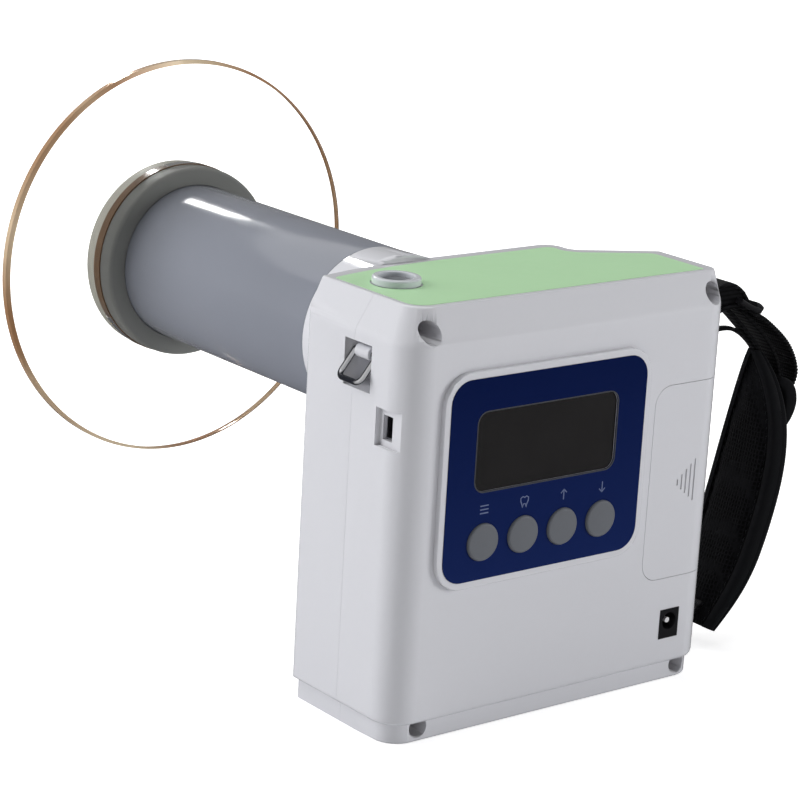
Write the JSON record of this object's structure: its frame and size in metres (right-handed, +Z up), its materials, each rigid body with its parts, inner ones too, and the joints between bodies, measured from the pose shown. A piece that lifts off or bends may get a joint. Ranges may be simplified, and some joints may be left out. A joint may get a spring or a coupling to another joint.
{
  "type": "intraoral x-ray unit",
  "caption": "Portable handheld dental x-ray unit: two-shell housing with key panel, aiming cone with sliding clear backscatter shield, padded hand strap.",
  "frame": {"origin": "middle of the flat underside", "axes": "+Z up, +Y the way the beam leaves the cone, +X towards the hand strap, panel faces -Y"},
  "size_m": [0.2241, 0.2232, 0.1977],
  "materials": {
    "white_abs": "glossy moulded white housing",
    "green_label": "satin printed film",
    "navy_overlay": "glossy printed panel film",
    "display_glass": "smoked clear window",
    "display_black": "dull black",
    "lcd_grey": "unlit liquid crystal",
    "board_green": "solder resist",
    "key_grey": "satin moulded keys",
    "pale_ring": "milky light ring",
    "steel": "plain steel",
    "chrome_wire": "bright chrome",
    "battery_wrap": "shrink film over metal cells",
    "black_plastic": "black moulding",
    "contact_brass": "spring brass",
    "strap_mesh": "black spacer mesh",
    "strap_web": "black ribbed webbing",
    "cone_grey": "glossy blue-grey tube",
    "lead": "dull lead",
    "flange_grey": "satin grey-green",
    "flange_pale": "satin beige-grey",
    "shield_clear": "clear leaded acrylic with a brown edge",
    "grip_rubber": "soft black",
    "tank_metal": "sheet steel lined with lead",
    "tube_glass": "hard glass",
    "winding": "copper winding on an iron core",
    "filter_aluminium": "bare aluminium",
    "port_plastic": "clear port window"
  },
  "bodies": {
    "housing": {"rear_shell": "white_abs", "front_shell": "white_abs", "housing_screws": "steel", "top_label": "green_label", "control_overlay": "navy_overlay", "display_window": "display_glass", "display_module": "display_black", "lcd_panel": "lcd_grey", "keypad_board": "board_green", "board_screws": "steel", "exposure_ring": "pale_ring", "exposure_switch": "black_plastic", "battery_pack": "battery_wrap", "battery_tray": "black_plastic", "battery_contacts": "contact_brass", "dc_jack": "black_plastic", "dc_jack_pin": "steel", "usb_socket": "steel", "usb_tongue": "black_plastic", "left_ring_lug": "white_abs", "right_strap_rings": "chrome_wire", "right_ring_lugs": "white_abs", "strap_pad": "strap_mesh", "strap_webbing": "strap_web", "strap_buckle": "black_plastic", "cone_tube": "cone_grey", "cone_lead_liner": "lead", "tank_case": "tank_metal", "tank_cover": "tank_metal", "tank_screws": "steel", "xray_tube": "tube_glass", "hv_transformer": "winding", "hv_multiplier": "board_green", "port_window": "port_plastic", "beam_filter": "filter_aluminium", "collimator": "lead", "control_board": "board_green", "inverter_board": "board_green", "buzzer": "black_plastic", "panel_cable": "black_plastic"},
    "mode_key": {"mode_button": "key_grey"},
    "tooth_key": {"tooth_button": "key_grey"},
    "up_key": {"up_button": "key_grey"},
    "down_key": {"down_button": "key_grey"},
    "exposure_key": {"exposure_button": "key_grey"},
    "door": {"battery_door": "white_abs"},
    "left_ring": {"left_strap_ring": "chrome_wire"},
    "shield": {"rear_flange": "flange_grey", "backscatter_shield": "shield_clear", "front_flange": "flange_pale", "shield_grip_ring": "grip_rubber", "flange_screws": "steel"}
  },
  "joints": [
    {"name": "mode_press", "type": "slide", "parent": "housing", "child": "mode_key", "axis": [0, 1, 0], "range_m": [0, 0.0008], "stiffness_N_per_m": 200},
    {"name": "tooth_press", "type": "slide", "parent": "housing", "child": "tooth_key", "axis": [0, 1, 0], "range_m": [0, 0.0008], "stiffness_N_per_m": 200},
    {"name": "up_press", "type": "slide", "parent": "housing", "child": "up_key", "axis": [0, 1, 0], "range_m": [0, 0.0008], "stiffness_N_per_m": 200},
    {"name": "down_press", "type": "slide", "parent": "housing", "child": "down_key", "axis": [0, 1, 0], "range_m": [0, 0.0008], "stiffness_N_per_m": 200},
    {"name": "exposure_press", "type": "slide", "parent": "housing", "child": "exposure_key", "axis": [0, 0, -1], "range_m": [0, 0.0015], "stiffness_N_per_m": 300},
    {"name": "battery_door_slide", "type": "slide", "parent": "housing", "child": "door", "axis": [1, 0, 0], "range_m": [0, 0.036]},
    {"name": "left_ring_swing", "type": "hinge", "parent": "housing", "child": "left_ring", "pos_m": [-0.0685, -0.0012, 0.1305], "axis": [0, 1, 0], "range_deg": [-25, 78]},
    {"name": "shield_slide", "type": "slide", "parent": "housing", "child": "shield", "axis": [0, -1, 0], "range_m": [-0.008, 0.11]}
  ]
}
